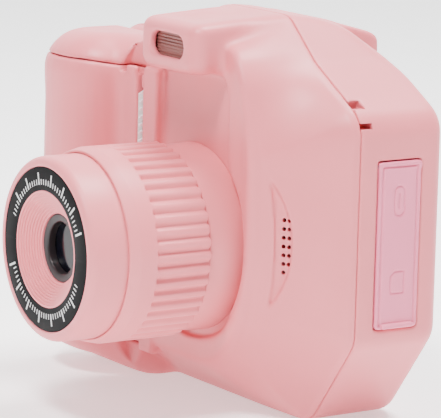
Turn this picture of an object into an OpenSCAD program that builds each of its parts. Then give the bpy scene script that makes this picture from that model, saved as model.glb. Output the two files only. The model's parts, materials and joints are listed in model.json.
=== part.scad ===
// Instant-print children's camera.
// X runs to the right seen from the front, Y from the lens to the screen, Z up from the base.
// The origin is the centre of the bounding box's foot.

/* [Body] */
// Width over the grip and the port side
body_w = 109.2; // [100:0.2:120]
// Height of the grip's top
grip_top = 86.5; // [82:0.5:90]
// Height of the flash hump's crest
hump_top = 97.4; // [94:0.2:100]
// Depth from the lens rim to the eyepiece
body_d = 86; // [84:0.5:90]
// Wall thickness of the housings
wall = 2; // [1.6:0.1:2.4]

/* [Lens barrel] */
// Lens axis across the body
lens_x = 8; // [4:0.5:10]
// Lens axis above the base
lens_z = 42; // [40:0.5:44]
// Outer radius of the front barrel
tube_r = 22; // [21.5:0.1:22.2]
// Outer radius of the zoom ring over its ribs
ring_r = 23.5; // [23.2:0.1:24]
// Number of ribs round the zoom ring
ring_ribs = 46; // [36:1:52]
// Length of the zoom ring
ring_len = 21.9; // [20:0.1:22]

/* [Printer] */
// Radius of a full paper roll
roll_r = 12.5; // [11:0.5:12.5]
// Width of the thermal paper
paper_w = 57; // [54:1:57]
// Radius of the rubber platen
platen_r = 3.7; // [3.5:0.05:3.7]
// Gear module
gear_m = 0.6; // [0.5:0.05:0.6]
// Teeth of the platen gear
platen_teeth = 14; // [12:1:14]
// Teeth of the idler gear
idler_teeth = 22; // [20:1:22]
// Teeth of the motor pinion
pinion_teeth = 10; // [9:1:10]

/* [Controls] */
// Radius of the round keys
key_r = 3.6; // [3:0.1:3.8]
// Radius of the shutter button
shutter_r = 6; // [5:0.5:6.5]
// Gap between a key and its hole
key_gap = 0.25; // [0.2:0.05:0.35]

/* [Port cover] */
// Width of the cover
cover_w = 12; // [11:0.5:13]
// Height of the cover
cover_h = 40; // [38:0.5:42]

/* [Hidden] */
$fn = 48;
eps = 0.01;

pink = [0.87, 0.66, 0.68];
deep_pink = [0.85, 0.56, 0.64];

// Main planes along Y
front_y = -body_d / 2;
panel_y = -1.5;
hump_y = -11;
grip_y = -14;
seam_y = 15;
rear_y = 39.5;
eye_y = body_d / 2;
left_x = -body_w / 2;
cover_lip = 0.8;
right_x = body_w / 2 - cover_lip;

// Points of a polygon whose corners [x, y, r] are rounded by arcs of radius r
function unit(v) = v / norm(v);
function arc_at(p, a, b, r, n) =
    let(u = unit(a - p), v = unit(b - p), half = acos(max(-1, min(1, u * v))) / 2,
        c = p + unit(u + v) * r / sin(half), s = p + u * r / tan(half), e = p + v * r / tan(half),
        t0 = atan2(s[1] - c[1], s[0] - c[0]), t1 = atan2(e[1] - c[1], e[0] - c[0]),
        d = t1 - t0 > 180 ? t1 - t0 - 360 : t1 - t0 < -180 ? t1 - t0 + 360 : t1 - t0)
    [for (i = [0:n]) c + r * [cos(t0 + d * i / n), sin(t0 + d * i / n)]];
function rounded(pts, n = 5) = [
    for (i = [0:len(pts) - 1])
        let(m = len(pts), p = [pts[i][0], pts[i][1]], q = pts[(i + m - 1) % m], w = pts[(i + 1) % m])
        each arc_at(p, [q[0], q[1]], [w[0], w[1]], pts[i][2], n)
];

// Both housings are drawn down to foot_z and cut off flat at Z = 0
foot_z = -0.5;
// Outline of both housings where they meet, seen from the front
seam_pts = [
    [left_x, foot_z, 8], [36.5, foot_z, 8], [right_x, 22.8, 8], [right_x, 75.4, 8], [34, 87, 14],
    [22, hump_top, 4], [-5, hump_top, 4], [-15, grip_top + 0.5, 8], [left_x, grip_top, 10]
];
// Outline of the rear face
rear_pts = [
    [left_x + 1, foot_z, 8], [35.5, foot_z, 8], [right_x - 0.8, 23.2, 8], [right_x - 0.8, 73.6, 8], [33, 85, 14],
    [21, 92.5, 3], [-4, 92.5, 3], [-13, 85.2, 6], [left_x + 1, 85, 10]
];
// Front panel round the lens
panel_pts = [[-22, 9, 10], [26, 11, 14], [33, 24, 12], [33, 80, 8], [26, 88, 6], [-22, 84, 10]];
// Edge of the front shell beside the paper door
door_edge_x = -17;
door_gap = 0.3;
// Grip seen from above
grip_pts = [
    [left_x, 14, 1], [left_x, grip_y, 14], [-30, grip_y, 9], [door_edge_x - 0.2, -3, 1.2], [door_edge_x - 0.2, 14, 1]
];

// Stands a front-view shape upright from y0 to y1
module slab(y0, y1) {
    translate([0, y1, 0]) rotate([90, 0, 0]) linear_extrude(y1 - y0) children();
}
// Turns a shape made along Z, starting at Z = 0, to run along +Y from y0
module along_y(x, y0, z) {
    translate([x, y0, z]) rotate([-90, 0, 0]) children();
}
module lens_turn(profile) {
    translate([lens_x, 0, lens_z]) rotate([-90, 0, 0]) rotate_extrude($fn = 96) polygon(profile);
}
module below_foot() {
    translate([-body_w, -body_d, -5]) cube([2 * body_w, 2 * body_d, 5]);
}
module rounded_box(x0, x1, z0, z1, r, y0, y1) {
    slab(y0, y1) polygon(rounded([[x0, z0, r], [x1, z0, r], [x1, z1, r], [x0, z1, r]]));
}

// ---- Housings ----
screw_spots = [[42, 67], [42, 24], [-43, 5.5], [-43, 80.5]];
boss_len = 4.5;
flash_x = 8.7;
flash_z = 89;
flash_w = 14.8;
flash_h = 5.8;

module cheek_form(inset) {
    hull() {
        slab(seam_y - 0.1, seam_y + (inset > 0 ? 0.1 : 0)) offset(delta = -inset) polygon(rounded(seam_pts));
        slab(panel_y + inset, panel_y + inset + 0.1) offset(delta = -inset) polygon(rounded(panel_pts));
    }
}
module grip_form(inset) {
    hull() {
        translate([0, 0, 10 + inset]) linear_extrude(70 - 2 * inset) offset(delta = -inset) polygon(rounded(grip_pts));
        translate([0, 0, 4 + inset]) linear_extrude(grip_top - 4 - 2 * inset)
            offset(delta = -3.5 - inset) polygon(rounded(grip_pts));
    }
}
module hump_form(inset) {
    hull() {
        rounded_box(-4.5 + inset, 22 - inset, 83 + inset, 95.6 - inset, 3, hump_y + inset, hump_y + inset + 0.2);
        rounded_box(-5 + inset, 22 - inset, 74, hump_top - inset, 4, seam_y - 1, seam_y + (inset > 0 ? 0.1 : 0));
    }
}
door_z0 = 10;
door_z1 = 79.5;
module door_space() {
    translate([left_x - 5, grip_y - 5, door_z0 - 0.2])
        cube([door_edge_x - left_x + 5, 13.9 - grip_y + 5, door_z1 - door_z0 + 0.4]);
}
// Slot beside the door for the paper and the tear bar, with room above for the platen's gear to swing out
tear_x = -15.9;
tear_z0 = 16;
tear_z1 = 74.5;
module paper_slot() {
    translate([door_edge_x - 1, panel_y - 4, tear_z0 - 1]) cube([tear_x + 2.1 - door_edge_x, 8, tear_z1 - tear_z0 + 1.4]);
    translate([door_edge_x - 1, panel_y - 4, tear_z1]) cube([1.6, 8, 4.1]);
}
// Speaker holes in two upright rows on the cheek
grille_angle = 46;
module grille_holes() {
    translate([38.5, 3.5, 43.5]) rotate([0, 0, grille_angle]) {
        for (i = [-3:3]) translate([-1, 0, i * 2.15]) rotate([-90, 0, 0]) cylinder(r = 0.5, h = 16, center = true, $fn = 16);
        for (i = [-2:2]) translate([1, 0, i * 2.15 + 0.6]) rotate([-90, 0, 0]) cylinder(r = 0.5, h = 16, center = true, $fn = 16);
    }
}
hinge_x = left_x + 1.6;
hinge_y = 12;
module front_shell() color(pink) difference() {
    union() {
        difference() {
            union() {
                cheek_form(0);
                grip_form(0);
                hump_form(0);
            }
            cheek_form(wall);
            hump_form(wall);
            translate([left_x + 4, grip_y + 4, 11]) cube([30, 27, grip_top - 15.5]);
            door_space();
        }
        for (p = screw_spots) along_y(p[0], seam_y - boss_len, p[1]) cylinder(r = 2.6, h = boss_len);
        // Ears for the door's hinge pin
        for (z = [8, 79.7]) translate([hinge_x, hinge_y, z]) cylinder(r = 1.6, h = 1.8);
    }
    below_foot();
    paper_slot();
    for (p = screw_spots) along_y(p[0], seam_y - boss_len + 0.8, p[1]) cylinder(r = 0.9, h = 9);
    translate([hinge_x, hinge_y, 8.4]) cylinder(r = 0.75, h = 72.7);
    along_y(lens_x, panel_y - 3, lens_z) cylinder(r = 20.05, h = 8, $fn = 96);
    grille_holes();
    slab(hump_y - 1, hump_y + wall + 1) translate([flash_x, flash_z]) hull() {
        for (s = [-1, 1]) translate([s * (flash_w - flash_h) / 2, 0]) circle(d = flash_h, $fn = 32);
    }
}

eye_x0 = -4;
eye_x1 = 21;
eye_z0 = 79.5;
eye_z1 = 92.5;
bezel = [[-48, 38], [9, 79]];
bezel_t = 1.2;
screen_x = 10;
screen_z = 46;
screen_w = 52;
screen_h = 40;
key_x = -32;
key_z = 45;
key_pitch = 9.6;
// Place and radius of each round key on the rear
keys = [
    ["power_button", -40, 70, 3], ["print_button", -24, 70, key_r], ["up_button", key_x, key_z + key_pitch, key_r],
    ["down_button", key_x, key_z - key_pitch, key_r], ["left_button", key_x - key_pitch, key_z, key_r],
    ["right_button", key_x + key_pitch, key_z, key_r], ["ok_button", key_x, key_z, key_r + 0.4],
    ["menu_button", -40, 20, key_r], ["gallery_button", -24, 20, key_r]
];
cover_y = 26.3;
cover_z0 = 25.4;
cover_z1 = cover_z0 + cover_h;
cover_axis_x = right_x - 0.75;
cover_axis_z = cover_z1 - 1.1;
shutter_x = -34;
shutter_y = 27;
slot_x = 44.5;

module rear_form(inset) {
    hull() {
        slab(seam_y - (inset > 0 ? 0.2 : 0), seam_y + 0.2) offset(delta = -inset) polygon(rounded(seam_pts));
        slab(36.5 - inset, 36.6 - inset) offset(delta = -inset) polygon(rounded(rear_pts));
        slab(rear_y - inset - 0.1, rear_y - inset) offset(delta = -inset - 2.4) polygon(rounded(rear_pts));
    }
}
module key_holes(gap) {
    for (k = keys) along_y(k[1], 30, k[2]) cylinder(r = k[3] + gap, h = 15);
}
module rear_shell() color(pink) difference() {
    union() {
        difference() {
            rear_form(0);
            rear_form(wall);
        }
        rounded_box(eye_x0, eye_x1, eye_z0, eye_z1, 2.5, rear_y - wall, eye_y);
        // Backing behind the port cover
        translate([right_x - 5, cover_y - cover_w / 2 - 1.5, cover_z0 - 1.5]) cube([3.4, cover_w + 3, cover_h + 3]);
        for (p = screw_spots) along_y(p[0], seam_y + eps, p[1]) cylinder(r = 3, h = rear_y - seam_y - 1);
    }
    below_foot();
    for (p = screw_spots) {
        along_y(p[0], seam_y - 1, p[1]) cylinder(r = 1.25, h = 30);
        along_y(p[0], rear_y - 4, p[1]) cylinder(r = 2.4, h = 5);
    }
    key_holes(key_gap);
    rounded_box(screen_x - 30, screen_x + 30, screen_z - 22.5, screen_z + 22.5, 2, rear_y - 3, rear_y + 1);
    along_y(8.5, rear_y - 6, 86) cylinder(r = 3.8, h = 12);
    translate([shutter_x, shutter_y, grip_top - 6]) cylinder(r = shutter_r + key_gap, h = 10);
    // Recess for the port cover, its hinge and the two sockets
    translate([right_x - 1.9, cover_y - cover_w / 2 - 0.2, cover_z0 - 0.2]) cube([4, cover_w + 0.4, cover_h + 0.5]);
    translate([cover_axis_x, cover_y - cover_w / 2 - 0.2, cover_axis_z]) rotate([-90, 0, 0])
        cylinder(r = 2.2, h = cover_w + 0.4);
    translate([cover_axis_x, cover_y - cover_w / 2 - 1, cover_axis_z]) rotate([-90, 0, 0])
        cylinder(r = 0.45, h = cover_w + 2);
    translate([right_x - 8, 24.7, 50.4]) cube([8, 3.3, 9.2]);
    translate([right_x - 8, 25.9, 29.9]) cube([8, 2.1, 13.2]);
    // Two slots that leave a bar for a wrist strap
    for (z = [73.3, 77.6]) translate([slot_x, seam_y - 1, z]) cube([12, 4.2, 1.4]);
}
module rear_bezel() color(pink) difference() {
    slab(rear_y, rear_y + bezel_t) polygon(rounded([for (p = [[0, 0], [1, 0], [1, 1], [0, 1]])
        [bezel[0][p[0]], bezel[1][p[1]], 7]]));
    rounded_box(screen_x - screen_w / 2 - 1, screen_x + screen_w / 2 + 1, screen_z - screen_h / 2 - 1,
        screen_z + screen_h / 2 + 1, 2, rear_y - 1, rear_y + 2);
    key_holes(key_gap);
}
module case_screws() color("silver") for (p = screw_spots) {
    along_y(p[0], seam_y - boss_len + 1, p[1]) cylinder(r = 0.88, h = 25);
    along_y(p[0], rear_y - 4, p[1]) cylinder(r = 2.1, h = 1.4);
}
module board_screws() color("silver") for (p = board_spots) {
    along_y(p[0], board_y - 1.2, p[1]) cylinder(r = 1.6, h = 1.2);
    along_y(p[0], board_y - 1.2, p[1]) cylinder(r = 0.7, h = 7);
}

// ---- Lens ----
ring_y0 = front_y + 9.9;
ring_y1 = ring_y0 + ring_len;
base_y0 = ring_y1 + 0.2;
bore_r = 20.66;
plate_in = 13.95;
plate_out = 19.5;
cone_in = 8.3;
cone_steps = 10;
step_r = (plate_in - cone_in) / cone_steps;
step_y = 0.41;

module lens_base() color(pink) lens_turn([
    [20.66, base_y0], [22.2, base_y0], [22.7, base_y0 + 0.6], [22.7, panel_y], [20, panel_y], [20, 3],
    [18.4, 3], [18.4, -3.2], [20.66, -3.2]
]);
module lens_tube() color(pink) lens_turn([
    [19.6, front_y], [20.6, front_y], [21.4, front_y + 0.5], [tube_r - 0.2, front_y + 1.6], [tube_r, front_y + 8],
    [tube_r, ring_y0 + 0.3], [20.6, ring_y0 + 0.3], [20.6, -3.4], [18.8, -3.4], [18.8, front_y + 2.6],
    [14.1, front_y + 2.6], [14.1, front_y + 1], [19.6, front_y + 1]
]);
module lens_face_ring() color([0.04, 0.04, 0.045]) lens_turn([
    [plate_in, front_y + 0.15], [plate_out, front_y + 0.15], [plate_out, front_y + 0.95], [plate_in, front_y + 0.95]
]);
module lens_cone() color(pink) lens_turn(concat(
    [for (i = [0:cone_steps - 1]) each [
        [plate_in - 0.05 - i * step_r, front_y + 0.2 + i * step_y],
        [plate_in - 0.05 - (i + 1) * step_r, front_y + 0.2 + i * step_y],
        [plate_in - 0.05 - (i + 1) * step_r, front_y + 0.2 + (i + 1) * step_y]]],
    [[cone_in - 0.05, front_y + 9], [cone_in + 1.4, front_y + 9], [cone_in + 1.4, front_y + 5.4],
        [plate_in - 0.05, front_y + 2]]
));
module lens_bezel() color([0.07, 0.06, 0.065]) lens_turn([
    [6.15, front_y + 4.4], [8.2, front_y + 4.3], [8.2, front_y + 8.6], [6.15, front_y + 8.6], [6.15, front_y + 7.6],
    [6.9, front_y + 7.6], [6.9, front_y + 6.5], [6.15, front_y + 6.5]
]);
module lens_window() color([0.02, 0.02, 0.03], 0.6) along_y(lens_x, front_y + 6.55, lens_z)
    cylinder(r = 6.85, h = 1, $fn = 64);
module lens_element() color([0.1, 0.1, 0.16]) lens_turn([
    [0, front_y + 7.8], [1, front_y + 7.95], [1.8, front_y + 8.4], [1.8, front_y + 9.2], [0, front_y + 9.2]
]);
module camera_module() color([0.12, 0.12, 0.12]) {
    along_y(lens_x, front_y + 8.7, lens_z) difference() {
        cylinder(r = 5.2, h = 6);
        translate([0, 0, -1]) cylinder(r = 1.82, h = 4);
    }
    translate([lens_x - 6, front_y + 14.7, lens_z - 6]) cube([12, 4, 12]);
}
module camera_board() color([0.05, 0.3, 0.12]) translate([lens_x - 9, front_y + 18.7, lens_z - 9]) cube([18, 1, 18]);
module camera_ribbon() color([0.75, 0.5, 0.15]) {
    translate([lens_x - 4, front_y + 19.7, lens_z - 8]) cube([8, 0.2, 10]);
    translate([lens_x - 4, front_y + 19.9, lens_z - 8]) cube([8, board_y - 2 - front_y - 19.9, 0.2]);
}
rib_depth = 0.9;
rib_y0 = front_y + 16.8;
module zoom_ring() color(pink) difference() {
    lens_turn([
        [bore_r, ring_y0 + 0.55], [22.15, ring_y0 + 0.55], [22.15, ring_y0], [22.7, ring_y0 + 0.2],
        [ring_r - 0.2, ring_y0 + 1], [ring_r, ring_y0 + 1.7], [ring_r, ring_y1 - 0.2], [ring_r - 0.3, ring_y1],
        [bore_r, ring_y1]
    ]);
    for (i = [0:ring_ribs - 1]) translate([lens_x, 0, lens_z]) rotate([0, i * 360 / ring_ribs, 0])
        translate([-0.75, rib_y0, ring_r - rib_depth]) cube([1.5, ring_len, 3]);
}

// ---- Flash ----
module flash_window() color([0.8, 0.8, 0.85], 0.5)
    rounded_box(flash_x - 8.2, flash_x + 8.2, flash_z - 3.8, flash_z + 3.8, 1, hump_y + wall + 0.1, hump_y + wall + 1.3);
module flash_reflector() color([0.8, 0.8, 0.82]) difference() {
    translate([flash_x - 8, hump_y + wall + 1.4, flash_z - 3.6]) cube([16, 4, 7.2]);
    translate([flash_x - 7, hump_y + wall + 1, flash_z - 2.8]) cube([14, 3.4, 5.6]);
    translate([flash_x - 1.6, hump_y + wall, flash_z - 1.6]) cube([3.2, 8, 3.2]);
}
module flash_led() color([0.95, 0.85, 0.4])
    translate([flash_x - 1.4, hump_y + wall + 4.6, flash_z - 1.4]) cube([2.8, 0.8, 2.8]);
module flash_board() color([0.05, 0.3, 0.12])
    translate([flash_x - 9, hump_y + wall + 5.4, flash_z - 4]) cube([18, 1, 8]);

// ---- Sound ----
module speaker() color([0.15, 0.15, 0.15]) translate([34.6, 9.6, 43.5]) rotate([0, 0, grille_angle])
    rotate([-90, 0, 0]) {
        cylinder(r = 8, h = 2.4);
        translate([0, 0, 2.4]) cylinder(r = 5, h = 2.4);
    }
module microphone() color("silver") along_y(28, board_y - 2.2, 16) cylinder(r = 2, h = 2.2);

// ---- Electronics ----
board_y = 28;
board_t = 1.2;
board_spots = [[-47, 14], [-47, 74], [40, 15], [20, 72]];
module main_board() color([0.05, 0.35, 0.15]) difference() {
    slab(board_y, board_y + board_t) polygon([
        [-50, 10], [34, 10], [47.5, 25], [47.5, 66], [41, 72], [30, 76], [-50, 76]
    ]);
    for (p = board_spots) along_y(p[0], board_y - 1, p[1]) cylinder(r = 0.75, h = 4);
    // Room for the screw posts
    for (p = screw_spots) along_y(p[0], board_y - 1, p[1]) cylinder(r = 3.4, h = 4);
}
module main_chips() color([0.1, 0.1, 0.1]) {
    translate([25, board_y - 1.2, 30]) cube([9, 1.2, 9]);
    translate([32, board_y - 0.9, 48]) cube([6, 0.9, 5]);
    translate([-18, board_y - 1, 66]) cube([8, 1, 5]);
    translate([-6, board_y - 1.6, 12]) cube([5, 1.6, 5]);
}
module tact_switches() color([0.7, 0.7, 0.7]) {
    for (k = keys) translate([k[1] - 2.2, board_y + board_t, k[2] - 2.2]) cube([4.4, 4.6, 4.4]);
    translate([shutter_x - 3, shutter_y - 3, 76.6]) cube([6, 6, 3]);
}
module display_module() color([0.5, 0.52, 0.55])
    translate([screen_x - 27.4, rear_y - wall - 2.9, screen_z - 21.5]) cube([54.8, 2.7, 43]);
module display_window() color([0.02, 0.02, 0.03]) rounded_box(
    screen_x - screen_w / 2 - 0.8, screen_x + screen_w / 2 + 0.8, screen_z - screen_h / 2 - 0.8,
    screen_z + screen_h / 2 + 0.8, 1.8, rear_y - wall, rear_y + bezel_t - 0.4);
module display_ribbon() color([0.75, 0.5, 0.15])
    translate([screen_x - 8, board_y + board_t, screen_z - 25]) cube([16, 5.2, 0.2]);
module eyepiece_window() color([0.02, 0.02, 0.03]) along_y(8.5, eye_y - 1.8, 86) cylinder(r = 3.7, h = 1.2);
module rear_camera_module() color([0.12, 0.12, 0.12]) {
    along_y(8.5, eye_y - 6.5, 86) cylinder(r = 3, h = 4.4);
    translate([4.5, 31.5, 81]) cube([8, 5, 7]);
}
module battery() color([0.6, 0.62, 0.66])
    rounded_box(-4, 25, 36, 72, 2, 8, 15);
module usb_socket() color("silver") difference() {
    translate([right_x - 8.5, 25, 50.8]) cube([6.2, 2.95, 8.4]);
    translate([right_x - 7.5, 25.4, 51.3]) cube([7, 2.15, 7.4]);
}
module card_socket() color("silver") difference() {
    translate([right_x - 17, 26.2, 30.4]) cube([14.7, 1.75, 12.2]);
    translate([right_x - 16, 26.6, 31]) cube([16, 0.95, 11]);
}
module port_cover() color(deep_pink) difference() {
    union() {
        translate([right_x - 1.6, cover_y - cover_w / 2, cover_z0]) cube([1.8, cover_w, cover_h - 1.4]);
        translate([right_x - 0.1, cover_y - 5, cover_z0 + 0.2]) cube([cover_lip + 0.1, 10, 1.2]);
        translate([cover_axis_x, cover_y - cover_w / 2, cover_axis_z]) rotate([-90, 0, 0])
            cylinder(r = 0.95, h = cover_w);
    }
    translate([cover_axis_x, cover_y - cover_w / 2 - 1, cover_axis_z]) rotate([-90, 0, 0])
        cylinder(r = 0.45, h = cover_w + 2);
}
module port_cover_pin() color("silver")
    translate([cover_axis_x, cover_y - cover_w / 2 - 0.8, cover_axis_z]) rotate([-90, 0, 0])
        cylinder(r = 0.4, h = cover_w + 1.6);

// ---- Printer ----
roll_x = -39;
roll_y = 3;
roll_z0 = 45 - paper_w / 2;
platen_x = -20.5;
platen_y = 5.5;
idler_y = platen_y + gear_m * (platen_teeth + idler_teeth) / 2 + 0.12;
motor_angle = -8;
pinion_gap = gear_m * (idler_teeth + pinion_teeth) / 2 + 0.12;
pinion_x = platen_x + pinion_gap * cos(motor_angle);
pinion_y = idler_y + pinion_gap * sin(motor_angle);
gear_z = 75.2;
gear_h = 3;
backlash = 0.1;

// Involute gear, tooth centred on the angle turn
function inv_pt(rb, a) = rb * [cos(a) + a * PI / 180 * sin(a), sin(a) - a * PI / 180 * cos(a)];
function spin(p, a) = [p[0] * cos(a) - p[1] * sin(a), p[0] * sin(a) + p[1] * cos(a)];
function flip(p) = [p[0], -p[1]];
function gear_pts(n, turn) =
    let(rp = gear_m * n / 2, rb = rp * cos(20), ra = rp + gear_m * 0.9, rf = rp - gear_m * 1.2,
        half = (90 / n - backlash / rp * 90 / PI) + (tan(20) * 180 / PI - 20),
        a0 = rf > rb ? sqrt(pow(rf / rb, 2) - 1) * 180 / PI : 0, a1 = sqrt(pow(ra / rb, 2) - 1) * 180 / PI,
        side = [for (k = [0:4]) spin(inv_pt(rb, a0 + (a1 - a0) * k / 4), -half)])
    [for (i = [0:n - 1]) each [
        spin(rf * [cos(half), -sin(half)], turn + i * 360 / n),
        for (k = [0:4]) spin(side[k], turn + i * 360 / n),
        for (k = [4:-1:0]) spin(flip(side[k]), turn + i * 360 / n),
        spin(rf * [cos(half), sin(half)], turn + i * 360 / n)]];
module gear(x, y, n, turn, bore) translate([x, y, gear_z]) difference() {
    linear_extrude(gear_h) polygon(gear_pts(n, turn));
    translate([0, 0, -1]) cylinder(r = bore, h = gear_h + 2);
}

// Cradle behind the roll: a back plate between two end plates
tray_x0 = -50.5;
tray_x1 = -28.4;
tray_z0 = 11.2;
tray_z1 = 77.2;
tray_t = 1.5;
module paper_tray() color([0.8, 0.6, 0.62]) {
    translate([tray_x0, 15.9, tray_z0]) cube([tray_x1 - tray_x0, tray_t, tray_z1 - tray_z0]);
    for (z = [tray_z0, tray_z1 - tray_t]) translate([tray_x0 + tray_t, -7, z])
        cube([16, 23, tray_t]);
}
module paper_roll() color("white") translate([roll_x, roll_y, roll_z0]) difference() {
    cylinder(r = roll_r, h = paper_w, $fn = 96);
    translate([0, 0, -1]) cylinder(r = 4, h = paper_w + 2);
}
module paper_strip() color("white") {
    translate([platen_x + platen_r + 0.12, -3, roll_z0]) cube([0.1, 14.9, paper_w]);
    translate([roll_x + 9.3, 11.8, roll_z0]) cube([platen_x + platen_r + 0.22 - roll_x - 9.3, 0.1, paper_w]);
}
module paper_door() color(pink) difference() {
    union() {
        difference() {
            intersection() {
                grip_form(0);
                translate([left_x - 1, grip_y - 1, door_z0])
                    cube([door_edge_x - door_gap - left_x + 1, hinge_y - grip_y + 1, door_z1 - door_z0]);
            }
            translate([0, 0, 5]) linear_extrude(80) offset(delta = -wall) polygon(rounded(grip_pts));
            translate([-21, 0.5, 0]) cube([6, 20, 90]);
        }
        translate([hinge_x, hinge_y, door_z0]) cylinder(r = 1.6, h = door_z1 - door_z0);
        // Arms that carry the platen
        for (z = [12.4, 72.8]) translate([-22.6, -5.5, z]) cube([3.6, 13.1, 1.6]);
    }
    translate([hinge_x, hinge_y, 9]) cylinder(r = 0.82, h = 72);
    translate([platen_x, platen_y, 11]) cylinder(r = 1.05, h = 64);
}
module door_hinge_pin() color("silver") translate([hinge_x, hinge_y, 8.5]) cylinder(r = 0.75, h = 72.5);
tear_teeth = 30;
module tear_bar() color([0.9, 0.9, 0.92], 0.6) translate([tear_x, -0.6, 0]) rotate([90, 0, 90])
    linear_extrude(1) polygon(concat(
        [for (i = [0:tear_teeth - 1]) each [
            [-0.9, tear_z0 + i * (tear_z1 - tear_z0) / tear_teeth],
            [0.1, tear_z0 + (i + 0.5) * (tear_z1 - tear_z0) / tear_teeth]]],
        [[-0.9, tear_z1], [1.9, tear_z1], [1.9, tear_z0]]));
module print_head() color([0.75, 0.75, 0.78]) {
    translate([platen_x + platen_r + 0.3, 1.6, roll_z0]) cube([1, 8.6, paper_w]);
    translate([platen_x + platen_r + 1.3, 2.2, roll_z0 - 1]) cube([1.2, 7.4, paper_w + 2]);
}
module print_head_springs() color("silver") for (z = [30, 60])
    translate([platen_x + platen_r + 2.5, 6, z]) rotate([0, 90, 0]) difference() {
        cylinder(r = 2, h = 3);
        translate([0, 0, -1]) cylinder(r = 1.4, h = 5);
    }
module platen_shaft() color("silver") translate([platen_x, platen_y, 11.6]) cylinder(r = 1, h = gear_z + gear_h - 11.6);
module platen_rubber() color([0.1, 0.1, 0.1]) translate([platen_x, platen_y, 15.4]) difference() {
    cylinder(r = platen_r, h = 56.6, $fn = 64);
    translate([0, 0, -1]) cylinder(r = 1, h = 60);
}
module platen_gear() color([0.9, 0.9, 0.88]) gear(platen_x, platen_y, platen_teeth, 90, 1);
module idler_gear() color([0.9, 0.9, 0.88]) gear(platen_x, idler_y, idler_teeth, 270 + 180 / idler_teeth, 0.8);
module idler_pin() color("silver") translate([platen_x, idler_y, gear_z - 3]) cylinder(r = 0.75, h = gear_h + 4);
module motor_pinion() color([0.9, 0.9, 0.88])
    gear(pinion_x, pinion_y, pinion_teeth, pinion_turn, 0.5);
// Angle that puts a gap of the pinion on the tooth of the idler that faces it
idler_pitch = 360 / idler_teeth;
idler_phase = 270 + 180 / idler_teeth;
facing = motor_angle - idler_phase;
offset_teeth = facing / idler_pitch - floor(facing / idler_pitch);
pinion_turn = motor_angle + 180 + offset_teeth * 360 / pinion_teeth + 180 / pinion_teeth;
module print_motor() color([0.7, 0.7, 0.72]) {
    translate([pinion_x, pinion_y, 60]) cylinder(r = 5, h = 14);
    translate([pinion_x, pinion_y, 74]) cylinder(r = 0.5, h = 4.4);
}

// ---- Keys ----
module key(k) color(deep_pink) {
    along_y(k[1], rear_y - wall - 3, k[2]) cylinder(r = 1.2, h = 3);
    along_y(k[1], rear_y - wall - 1.2, k[2]) cylinder(r = k[3] + 0.8, h = 1);
    along_y(k[1], rear_y - wall - 0.4, k[2]) cylinder(r = k[3], h = wall + bezel_t + 1.4);
}
module shutter_button() color(deep_pink) {
    translate([shutter_x, shutter_y, 83.5]) cylinder(r = shutter_r + 0.6, h = 0.9);
    translate([shutter_x, shutter_y, 84]) cylinder(r = shutter_r, h = 4.2);
    translate([shutter_x, shutter_y, 80.8]) cylinder(r = 1.5, h = 3);
}
module power_button() key(keys[0]);
module print_button() key(keys[1]);
module up_button() key(keys[2]);
module down_button() key(keys[3]);
module left_button() key(keys[4]);
module right_button() key(keys[5]);
module ok_button() key(keys[6]);
module menu_button() key(keys[7]);
module gallery_button() key(keys[8]);

front_shell();
rear_shell();
rear_bezel();
lens_base();
lens_tube();
lens_face_ring();
lens_cone();
lens_bezel();
lens_window();
lens_element();
camera_module();
camera_board();
camera_ribbon();
zoom_ring();
flash_window();
flash_reflector();
flash_led();
flash_board();
speaker();
microphone();
main_board();
main_chips();
tact_switches();
display_module();
display_window();
display_ribbon();
eyepiece_window();
rear_camera_module();
battery();
usb_socket();
card_socket();
port_cover();
port_cover_pin();
paper_tray();
paper_roll();
paper_strip();
paper_door();
door_hinge_pin();
tear_bar();
print_head();
print_head_springs();
platen_shaft();
platen_rubber();
platen_gear();
idler_gear();
idler_pin();
print_motor();
motor_pinion();
shutter_button();
power_button();
print_button();
up_button();
down_button();
left_button();
right_button();
ok_button();
menu_button();
gallery_button();
case_screws();
board_screws();
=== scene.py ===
"""Looks of the instant-print children's camera.

Lengths in the shape code are millimetres, in the CAD's frame. Fields are signed distances, negative inside.
"""

import bpy
import json
import math
import numpy as np
from mathutils import Matrix, Vector


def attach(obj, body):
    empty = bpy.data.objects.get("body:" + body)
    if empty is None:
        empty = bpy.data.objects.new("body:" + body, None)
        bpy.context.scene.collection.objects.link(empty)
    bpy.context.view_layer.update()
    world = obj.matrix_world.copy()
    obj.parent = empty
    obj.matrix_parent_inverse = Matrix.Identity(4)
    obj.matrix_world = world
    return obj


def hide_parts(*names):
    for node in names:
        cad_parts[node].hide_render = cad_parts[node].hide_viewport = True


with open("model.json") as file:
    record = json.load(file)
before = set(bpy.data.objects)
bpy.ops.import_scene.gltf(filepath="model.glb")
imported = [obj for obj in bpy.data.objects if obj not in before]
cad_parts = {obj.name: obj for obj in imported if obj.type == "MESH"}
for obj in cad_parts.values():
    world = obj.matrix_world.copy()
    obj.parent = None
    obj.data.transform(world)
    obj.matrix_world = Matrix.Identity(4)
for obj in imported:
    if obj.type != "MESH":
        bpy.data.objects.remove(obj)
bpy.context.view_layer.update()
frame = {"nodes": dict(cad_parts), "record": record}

MM = 0.001
LENS_X, LENS_Z = 8.0, 42.0
FRONT_Y, EYE_Y = -43.0, 43.0
SEAM_Y, REAR_Y = 15.0, 39.5
PANEL_Y, BAND_Y, CREST_Y, HUMP_Y = -1.0, -2.7, -4.5, -11.0
LEFT_X, RIGHT_X = -54.6, 53.8
GRIP_TOP = 86.5
WALL = 2.0
SEAM_GAP = 0.16
DOOR_LOW, DOOR_HIGH, DOOR_EDGE = 10.0, 79.5, -17.0
HINGE_X, HINGE_Y = LEFT_X + 1.6, 12.0
SHUTTER = (-34.0, 27.0, 6.0)
FLASH_X, FLASH_Z, FLASH_W, FLASH_H = 8.7, 89.0, 14.8, 5.8
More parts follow.
